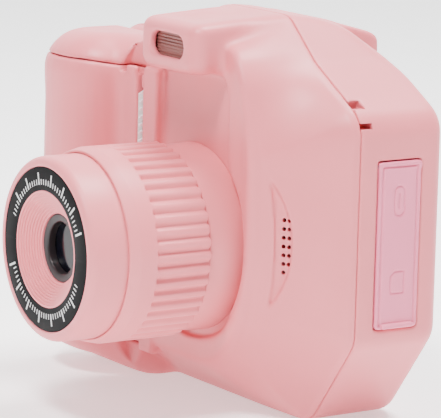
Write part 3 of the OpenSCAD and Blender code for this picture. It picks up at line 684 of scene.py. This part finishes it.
def lens():
    pink = MAT["pink_lens"]
    lathe("lens_tube", fillet([
        (19.62, FRONT_Y, 0.35), (22.0, FRONT_Y, 1.9), (22.05, RING_Y0 + 0.3, 0.1), (20.6, RING_Y0 + 0.3, 0.1),
        (20.6, -3.4, 0.2), (18.8, -3.4, 0.2), (18.8, FRONT_Y + 2.6, 0.3), (14.1, FRONT_Y + 2.6, 0.2),
        (14.1, FRONT_Y + 1, 0.1), (19.62, FRONT_Y + 1, 0.1)]), pink, "housing", "lens_tube")
    lathe("lens_base", fillet([
        (20.66, RING_Y1 + 0.2, 0.1), (22.3, RING_Y1 + 0.2, 0.5), (22.75, PANEL_Y, 0.3),
        (20, PANEL_Y + 0.1, 0.1), (20, 3, 0.3), (18.4, 3, 0.3), (18.4, -3.2, 0.2), (20.66, -3.2, 0.2)]),
        pink, "housing", "lens_base")
    lathe("lens_face_ring", fillet([
        (PLATE_IN, FRONT_Y + 0.15, 0.12), (PLATE_OUT, FRONT_Y + 0.15, 0.12), (PLATE_OUT, FRONT_Y + 0.95, 0.1),
        (PLATE_IN, FRONT_Y + 0.95, 0.1)], 3), MAT["black_ring"], "housing", "lens_face_ring")
    run = (PLATE_IN - CONE_IN) / CONE_STEPS
    stairs = []
    for i in range(CONE_STEPS):
        r, yy = PLATE_IN - 0.05 - i * run, FRONT_Y + 0.2 + i * 0.41
        stairs += [(r, yy, 0.06), (r - run, yy, 0.1)]
    lathe("lens_cone", fillet(stairs + [
        (CONE_IN - 0.05, FRONT_Y + 9, 0.2), (CONE_IN + 1.4, FRONT_Y + 9, 0.2),
        (CONE_IN + 1.4, FRONT_Y + 5.6, 0.3),
        (PLATE_IN - 0.05, FRONT_Y + 2, 0.1)], 3), pink, "housing", "lens_cone")
    lathe("lens_bezel", fillet([
        (6.15, FRONT_Y + 4.5, 0.5), (8.2, FRONT_Y + 4.2, 0.4), (8.2, FRONT_Y + 8.6, 0.2),
        (6.15, FRONT_Y + 8.6, 0.1),
        (6.15, FRONT_Y + 7.6, 0.05), (6.9, FRONT_Y + 7.6, 0.05), (6.9, FRONT_Y + 6.5, 0.05),
        (6.15, FRONT_Y + 6.5, 0.05)], 4), MAT["dark_bezel"], "housing", "lens_bezel")
    depth = 0.9

    def ribbed(r, y, a):
        groove = (0.5 - 0.5 * np.cos(RIBS * a)) ** 1.8
        run_in = np.clip((y - RIB_Y0) / 0.9, 0, 1)
        run_in = run_in * run_in * (3 - 2 * run_in)
        outer = np.clip((r - 21.9) / 0.6, 0, 1)
        return r - depth * groove * run_in * outer

    top = [(23.5, y) for y in np.linspace(RING_Y0 + 3.2, RIB_Y0 - 0.3, 4)]
    top += [(23.5, y) for y in np.linspace(RIB_Y0, RIB_Y0 + 1.0, 8)]
    top += [(23.5, y) for y in np.linspace(RIB_Y0 + 2, RING_Y1 - 0.7, 12)]
    front_lip = fillet([
        (20.66, RING_Y0 + 0.55, 0.05), (22.2, RING_Y0 + 0.55, 0.05), (22.2, RING_Y0, 0.12),
        (22.8, RING_Y0, 0.4), (23.5, RING_Y0 + 2.8, 0.3), (23.5, RING_Y1, 0.4), (20.66, RING_Y1, 0.1)])
    lip = [p for p in front_lip if p[1] < RING_Y0 + 3]
    tail = [p for p in front_lip if p[1] > RING_Y1 - 1]
    lathe("zoom_ring", lip + top + tail, pink, "zoom", "zoom_ring", RIBS * 16, radius_of=ribbed)
    face_marks()


def face_marks():
    """Generic scale of long and short bars on the black plate, raised like print."""
    pts, faces = [], []
    y0, y1 = FRONT_Y + 0.1, FRONT_Y + 0.2

    def bar(angle, r0, r1, width):
        base = len(pts)
        a = math.radians(angle)
        u, v = np.array((math.cos(a), math.sin(a))), np.array((-math.sin(a), math.cos(a)))
        for yy in (y0, y1):
            for r, s in ((r0, -1), (r1, -1), (r1, 1), (r0, 1)):
                p = np.array((LENS_X, LENS_Z)) + u * r + v * s * width / 2
                pts.append((p[0], yy, p[1]))
        faces.extend([[base + k for k in q] for q in
                      ([0, 1, 2, 3], [7, 6, 5, 4], [0, 4, 5, 1], [1, 5, 6, 2], [2, 6, 7, 3], [3, 7, 4, 0])])

    for start, stop in ((22, 158), (202, 338)):
        for i, a in enumerate(np.arange(start, stop + 0.1, 4)):
            long_one = i % 5 == 0
            bar(a, 15.3, 18.2 if long_one else 16.6, 0.5 if long_one else 0.28)
    mesh_piece("lens_face_marks", pts, faces, MAT["ring_marks"], "housing", None, smooth=False)


# ---- Tear bar ----
def tear_bar():
    """Thin toothed blade that stands in the paper slot, its teeth facing forwards."""
    teeth, low, high = 30, 16.0, 74.5
    x0, x1, tip, root, back = DOOR_EDGE + 0.95, DOOR_EDGE + 1.75, -3.3, -1.9, 1.3
    pitch = (high - low) / teeth
    edge = []
    for i in range(teeth):
        z = low + i * pitch
        edge += [(root, z + 0.1 * pitch), (tip, z + 0.42 * pitch), (tip, z + 0.58 * pitch),
                 (root, z + 0.9 * pitch)]
    loop = [(back, high), (back, low)] + edge
    n = len(loop)
    pts = [(x0 + 0.25 * (y < root), y, z) for y, z in loop]
    pts += [(x1 - 0.1 * (y < root), y, z) for y, z in loop]
    faces = [list(range(n)), [n + k for k in reversed(range(n))]]
    faces += [[k, n + k, n + (k + 1) % n, (k + 1) % n] for k in range(n)]
    # The blade's near-white material is a painted highlight for its glints.
    mesh_piece("tear_bar", pts, faces, MAT["tear_steel"], "housing", "tear_bar",
               smooth=False)


# ---- Port cover and keys ----
def port_cover():
    step = 0.2
    y0, y1 = COVER_Y - COVER_W / 2, COVER_Y + COVER_W / 2
    z1 = COVER_Z0 + COVER_H - 0.15
    axes, (x, y, z) = grid_for((RIGHT_X - 1.8, y0, COVER_Z0), (RIGHT_X + 1.5, y1, COVER_Z0 + COVER_H), step)
    face = outline_sd(rectangle(y0, COVER_Z0, y1, z1, 1), y[0], z[0])[None]
    f = smax(face, slab_sd(x, RIGHT_X - 1.6, RIGHT_X + 0.2), 0.4)
    ax, az = RIGHT_X - 0.75, COVER_Z0 + COVER_H - 1.1
    f = smax(f, -np.maximum(np.maximum(x - ax, az - z), 0.95 - np.sqrt((x - ax) ** 2 + (z - az) ** 2)), 0.2)
    f = smin(f, np.maximum(np.sqrt((x - ax) ** 2 + (z - az) ** 2) - 0.95, slab_sd(y, y0, y1)), 0.5)
    line = np.maximum(np.abs(face + 1.1) - 0.24, RIGHT_X - 0.15 - x)
    f = smax(f, -line, 0.25)
    lip = rbox_sd(x, y, z, (RIGHT_X - 0.3, COVER_Y - 4.5, COVER_Z0 + 0.2),
                  (RIGHT_X + 1.25, COVER_Y + 4.5, COVER_Z0 + 1.3), 0.4)
    f = smin(f, lip, 0.15)
    depth = RIGHT_X - 0.08 - x
    # Pictograms: a plug's outline above, a card's outline below
    plug = rod_sd(np.maximum(np.abs(z - 56) - 2.2, 0), np.maximum(np.abs(y - COVER_Y) - 0.1, 0), 1.3)
    plug = np.abs(plug) - 0.2
    tongue = np.maximum(np.abs(z - 56) - 1.8, np.abs(y - COVER_Y) - 0.25)
    card_corners = [(-1.9, -2.6, 0.3), (1.9, -2.6, 0.3), (1.9, 2.6, 0.3), (-0.8, 2.6, 0.3), (-1.9, 1.5, 0.3)]
    card = np.abs(outline_sd(card_corners, y[0] - COVER_Y, z[0] - 36.5))[None] - 0.2
    for mark in (plug, tongue, card):
        f = smax(f, -np.maximum(mark, depth), 0.2)
    f = np.maximum(f, 0.45 - np.sqrt((x - ax) ** 2 + (z - az) ** 2))
    surface("port_cover", f, axes, step, MAT["key_pink"], "cover", "port_cover", relax=1)


def key_mark(name, u, v):
    """Simple sign sunk in a key's face, in the key's own plane."""
    arrow = {"up_button": (0, 1), "down_button": (0, -1), "left_button": (-1, 0), "right_button": (1, 0)}
    if name in arrow:
        du, dv = arrow[name]
        a, b = u * du + v * dv, u * -dv + v * du
        return np.maximum(-a - 1.0, a * 0.55 + np.abs(b) - 0.8)
    if name == "ok_button":
        return np.abs(np.hypot(u, v) - 1.6) - 0.3
    if name == "power_button":
        arc = np.maximum(np.abs(np.hypot(u, v) - 1.3) - 0.22, v - 0.9)
        return np.minimum(arc, np.maximum(np.abs(u) - 0.22, np.abs(v - 1.1) - 0.8))
    if name == "print_button":
        case = np.maximum(np.abs(u) - 1.7, np.abs(v + 0.1) - 0.8)
        return np.minimum(case, np.maximum(np.abs(u) - 1.0, np.abs(v) - 1.8))
    if name == "menu_button":
        lines = np.maximum(np.abs(u) - 1.6, np.abs((v + 0.5) % 1.0 - 0.5) - 0.2)
        return lines + np.maximum(np.abs(v) - 1.4, 0)
    return np.maximum(-u - 1.2, u * 0.6 + np.abs(v) - 0.95)


def keys():
    step = 0.22
    face = REAR_Y + BEZEL_T + 1.0
    for name, (kx, kz, kr) in KEYS.items():
        low, high = (kx - kr - 1, REAR_Y - 5, kz - kr - 1), (kx + kr + 1, face + 0.2, kz + kr + 1)
        axes, (x, y, z) = grid_for(low, high, step)
        d = np.hypot(x - kx, z - kz)
        cap = smax(d - kr, slab_sd(y, REAR_Y - 2.4, face), 0.8)
        cap = smax(cap, -(np.sqrt((x - kx) ** 2 + (z - kz) ** 2 + (y - face - 17.6) ** 2) - 18), 0.5)
        cap = smax(cap, -np.maximum(key_mark(name, kx - x, z - kz), face - 0.75 - y), 0.15)
        flange = np.maximum(d - kr - 0.8, slab_sd(y, REAR_Y - 3.2, REAR_Y - 2.2))
        stem = np.maximum(d - 1.2, slab_sd(y, REAR_Y - 5, REAR_Y - 2.2))
        f = np.minimum(np.minimum(cap, flange), stem)
        body = name.replace("_button", "_key")
        surface(name, f, axes, step, MAT["key_pink"], body, name, relax=1)
    sx, sy, sr = SHUTTER
    axes, (x, y, z) = grid_for((sx - 7.5, sy - 7.5, 79.5), (sx + 7.5, sy + 7.5, 88.5), 0.25)
    d = np.hypot(x - sx, y - sy)
    f = smax(d - sr, slab_sd(z, 84, 88.2), 1.2)
    f = smax(f, -(np.sqrt((x - sx) ** 2 + (y - sy) ** 2 + (z - 88.2 - 27.4) ** 2) - 28), 0.6)
    f = np.minimum(f, np.maximum(d - sr - 0.6, slab_sd(z, 83.5, 84.4)))
    f = np.minimum(f, np.maximum(d - 1.5, slab_sd(z, 80.8, 84)))
    surface("shutter_button", f, axes, 0.25, MAT["key_pink"], "shutter", "shutter_button",
            relax=1)


def rear_plate():
    step = 0.42
    axes, (x, y, z) = grid_for((-48, REAR_Y, 9), (38, REAR_Y + BEZEL_T, 79), step)
    flat = outline_sd(rectangle(-48, 9, 38, 79, 7), x[:, 0], z[:, 0])[:, None]
    f = smax(flat, slab_sd(y, REAR_Y, REAR_Y + BEZEL_T), 0.7)
    sx, sz, sw, sh = SCREEN
    corners = rectangle(sx - sw / 2 - 1, sz - sh / 2 - 1, sx + sw / 2 + 1, sz + sh / 2 + 1, 2)
    hole = outline_sd(corners, x[:, 0], z[:, 0])[:, None]
    f = smax(f, -hole, 0.5)
    for kx, kz, kr in KEYS.values():
        f = smax(f, kr + 0.3 - np.hypot(x - kx, z - kz), 0.4)
    surface("rear_bezel", f, axes, step, MAT["pink_shell"], "housing", "rear_bezel", relax=1)


def flash():
    """Prismatic window: a clear plate whose front face carries a fine grid of raised squares."""
    low = (FLASH_X - 8.2, HUMP_Y + WALL + 0.1, FLASH_Z - 3.8)
    high = (FLASH_X + 8.2, HUMP_Y + WALL + 1.3, FLASH_Z + 3.8)
    step = 0.13
    pitch = 0.8
    axes, (x, y, z) = grid_for(low, high, step)
    f = rbox_sd(x, y, z, low, high, 0.3)
    cells = 0.25 * (2 + np.cos(x * 2 * math.pi / pitch) + np.cos(z * 2 * math.pi / pitch))
    f = np.maximum(f, low[1] + 0.4 * cells - y)
    # The window's brown tint is painted shade from the inset behind it.
    surface("flash_window", f, axes, step, MAT["clear_plastic"], "housing", "flash_window",
            relax=0)


# ---- Carried-over CAD nodes ----
def dress_nodes():
    slots = {r["node"]: r["material_slot"] for r in frame["record"]["subparts"]}
    for name, ob in frame["nodes"].items():
        for s in ob.material_slots:
            s.material = MAT[slots[name]]


# ---- Stage ----
def stage():
    floor_me = bpy.data.meshes.new("floor")
    reach = 3.0
    corners = [(-reach, -reach, 0), (reach, -reach, 0), (reach, reach, 0), (-reach, reach, 0)]
    floor_me.from_pydata(corners, [], [[0, 1, 2, 3]])
    floor = bpy.data.objects.new("floor", floor_me)
    bpy.context.scene.collection.objects.link(floor)
    floor.location.z = -0.0003
    m, tree, bsdf = new_material("floor")
    feed(tree, bsdf.inputs["Base Color"], noise(tree, 3.0), [(0.3, grey(0.88)), (0.7, grey(0.92))])
    bsdf.inputs["Roughness"].default_value = 0.8
    bsdf.inputs["Specular IOR Level"].default_value = 0.1
    bsdf.inputs["Emission Color"].default_value = (1, 1, 1, 1)
    bsdf.inputs["Emission Strength"].default_value = 0.75
    floor_me.materials.append(m)
    world = bpy.data.worlds.new("studio")
    world.use_nodes = True
    tree = world.node_tree
    back = tree.nodes["Background"]
    # White backdrop behind the object, dimmer studio in front of it
    coord = tree.nodes.new("ShaderNodeTexCoord")
    away = tree.nodes.new("ShaderNodeVectorMath")
    away.operation = "DOT_PRODUCT"
    away.inputs[1].default_value = (-0.84, 0.54, 0.0)
    tree.links.new(coord.outputs["Generated"], away.inputs[0])
    feed(tree, back.inputs["Color"], away.outputs["Value"], [(0.25, grey(0.05)), (0.8, grey(1.0))])
    back.inputs["Strength"].default_value = 3.2
    bpy.context.scene.world = world
    centre = Vector((0, 0, 0.048))
    for name, place, size, power in (
            ("key", (0.3, -0.5, 1.0), 0.22, 20.0), ("top", (0.05, 0.35, 1.1), 0.45, 30.0),
            ("side", (1.2, -0.2, 0.3), 0.5, 1.0), ("front", (-0.6, -1.1, 0.5), 0.5, 1.5)):
        light = bpy.data.lights.new(name, "AREA")
        light.shape, light.size, light.energy = "SQUARE", size, power
        ob = bpy.data.objects.new(name, light)
        bpy.context.scene.collection.objects.link(ob)
        ob.location = place
        ob.rotation_euler = (centre - Vector(place)).to_track_quat("-Z", "Y").to_euler()


def camera():
    """Long-lens view of the lens side, aimed at the body's middle."""
    azimuth, elevation, roll = math.radians(57.2), math.radians(10.4), math.radians(1.45)
    aim = Vector((0.0145, 0.0018, 0.0493))
    level = math.cos(elevation)
    away = Vector((math.sin(azimuth) * level, -math.cos(azimuth) * level, math.sin(elevation)))
    right = Vector((math.cos(azimuth), math.sin(azimuth), 0))
    up = away.cross(right)
    tilted = math.cos(roll) * right + math.sin(roll) * up
    cam = bpy.data.cameras.new("camera")
    cam.sensor_width = 36.0
    cam.lens = 261.2
    ob = bpy.data.objects.new("camera", cam)
    bpy.context.scene.collection.objects.link(ob)
    turn = Matrix((tilted, away.cross(tilted), away)).transposed()
    ob.matrix_world = Matrix.Translation(aim + away * 0.77) @ turn.to_4x4()
    bpy.context.scene.camera = ob


camera()
stage()
dress_nodes()
housings()
lens()
tear_bar()
port_cover()
keys()
rear_plate()
flash()
